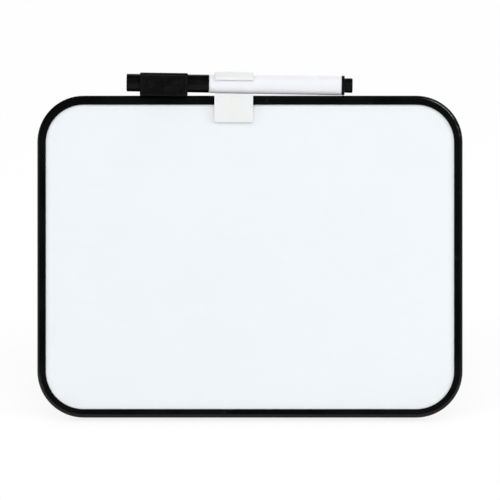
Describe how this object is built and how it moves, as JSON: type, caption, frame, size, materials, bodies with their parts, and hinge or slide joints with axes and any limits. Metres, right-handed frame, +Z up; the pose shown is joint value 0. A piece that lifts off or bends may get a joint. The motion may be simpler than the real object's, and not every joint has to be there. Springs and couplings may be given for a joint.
{
  "type": "magnetic desk whiteboard easel",
  "caption": "Small magnetic whiteboard leaning on a fold-out rear leg, with a capped marker and eraser held in a clip on its top edge.",
  "frame": {"origin": "on the desk, under the middle of the object's box with the leg opened", "axes": "+X to the right of someone who writes on the board, +Y away from them, +Z up"},
  "size_m": [0.28, 0.094, 0.2201],
  "materials": {
    "rim_black": "satin-gloss moulded plastic",
    "sheet_white": "white dry-wipe coating on steel",
    "core_fibre": "raw hardboard",
    "panel_black": "fine spark-eroded texture",
    "bracket_black": "moulded plastic",
    "pin_steel": "bright steel",
    "screw_steel": "zinc-plated steel",
    "foot_rubber": "matt rubber",
    "leg_black": "moulded plastic",
    "clip_white": "white moulded plastic",
    "barrel_white": "white moulded plastic",
    "plug_black": "black moulded plastic",
    "holder_black": "black moulded plastic",
    "nib_fibre": "pressed fibre soaked in black ink",
    "ink_fibre": "wound fibre soaked in black ink",
    "cap_black": "black moulded plastic",
    "seal_grey": "soft sealing ring",
    "tray_black": "black moulded plastic",
    "felt_black": "black wool felt"
  },
  "bodies": {
    "board": {"frame_rim": "rim_black", "writing_sheet": "sheet_white", "core_board": "core_fibre", "rear_panel": "panel_black", "hinge_bracket": "bracket_black", "hinge_pin": "pin_steel", "pin_ring": "pin_steel", "bracket_screws": "screw_steel", "rubber_foot_left": "foot_rubber", "rubber_foot_right": "foot_rubber"},
    "leg": {"easel_leg": "leg_black", "leg_shoe": "foot_rubber"},
    "clip": {"marker_clip": "clip_white"},
    "marker": {"marker_barrel": "barrel_white", "end_plug": "plug_black", "nib_holder": "holder_black", "marker_nib": "nib_fibre", "ink_reservoir": "ink_fibre"},
    "cap": {"marker_cap": "cap_black", "cap_seal": "seal_grey", "eraser_holder": "tray_black", "eraser_pad": "felt_black"}
  },
  "joints": [
    {"name": "leg_fold", "type": "hinge", "parent": "board", "child": "leg", "pos_m": [0, 0.01097, 0.14179], "axis": [1, 0, 0], "range_deg": [-31, 0]},
    {"name": "clip_slide", "type": "slide", "parent": "board", "child": "clip", "axis": [1, 0, 0], "range_m": [-0.0852, 0.1062]},
    {"name": "marker_draw", "type": "slide", "parent": "clip", "child": "marker", "axis": [-0.9999, 0.0042, 0.0128], "range_m": [-0.0147, 0.0578]},
    {"name": "cap_pull", "type": "slide", "parent": "marker", "child": "cap", "axis": [-0.9999, 0.0042, 0.0128], "range_m": [0, 0.038]}
  ]
}
